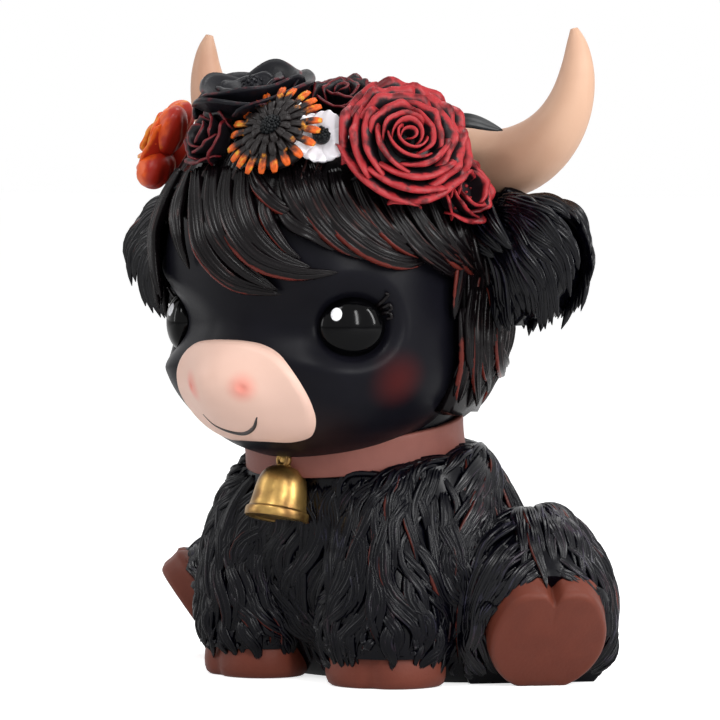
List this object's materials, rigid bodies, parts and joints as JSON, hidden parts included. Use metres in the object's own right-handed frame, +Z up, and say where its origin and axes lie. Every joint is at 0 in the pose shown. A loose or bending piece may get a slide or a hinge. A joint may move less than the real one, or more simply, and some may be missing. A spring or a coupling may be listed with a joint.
{
  "type": "cow figurine",
  "caption": "Seated long-haired cow ornament with a wide rounded head, curved horns, drooping shaggy ears, a pale muzzle, a crown of flowers, and a collar with a small bell.",
  "frame": {"origin": "on the surface the figurine sits on, in its middle plane, below the middle of the neck", "axes": "+Z up, -Y forward out of the face, +X to the cow's own left"},
  "size_m": [0.1452, 0.1001, 0.1489],
  "materials": {
    "dark_fur": "near-black painted resin fur, satin, grooves left darker and ridges dry-brushed grey and dark red",
    "dark_hide": "smooth near-black painted resin with a soft bluish sheen, reddish brown under the chin",
    "dark_hair": "glossier black-brown painted resin locks with dark red edges",
    "brown_hoof": "matte red-brown paint",
    "eye_gloss": "high-gloss black with one painted white highlight",
    "pink_muzzle": "satin peach-pink paint with a darker painted mouth line and soft pink nostrils",
    "bone_horn": "beige bone paint with a pinkish mottle and tiny casting pinholes",
    "brown_collar": "matte pinkish brown paint with lighter edges",
    "antique_gold": "antique gold paint with brown brush marks",
    "red_petal": "red painted petal rims over near-black recesses",
    "dark_petal": "grey-black petals with thin dark red rims",
    "orange_petal": "orange paint running into black at the base, with yellow-tinged edges",
    "white_petal": "satin white paint, slightly violet in the folds",
    "dark_leaf": "satin black-green paint"
  },
  "bodies": {
    "root": {"anemone": "white_petal", "anemone_centre": "dark_petal", "bell": "antique_gold", "bell_loop": "antique_gold", "collar": "brown_collar", "dark_rose": "dark_petal", "fringe": "dark_hair", "gerbera": "orange_petal", "hair_cap": "dark_hair", "hanging_leaf": "dark_leaf", "head": "dark_hide", "large_rose": "red_petal", "left_ear": "dark_fur", "left_eye": "eye_gloss", "left_fore_hoof": "brown_hoof", "left_foreleg": "dark_fur", "left_hind_hoof": "brown_hoof", "left_hind_leg": "dark_fur", "left_horn": "bone_horn", "left_lashes": "dark_hair", "muzzle": "pink_muzzle", "orange_flower": "orange_petal", "poppy": "dark_petal", "rear_rose": "red_petal", "right_ear": "dark_fur", "right_eye": "eye_gloss", "right_fore_hoof": "brown_hoof", "right_foreleg": "dark_fur", "right_hind_hoof": "brown_hoof", "right_hind_leg": "dark_fur", "right_horn": "bone_horn", "right_lashes": "dark_hair", "side_leaf": "dark_leaf", "small_rose": "red_petal", "tail": "dark_fur", "torso": "dark_fur", "upper_leaf": "dark_leaf"}
  },
  "joints": []
}
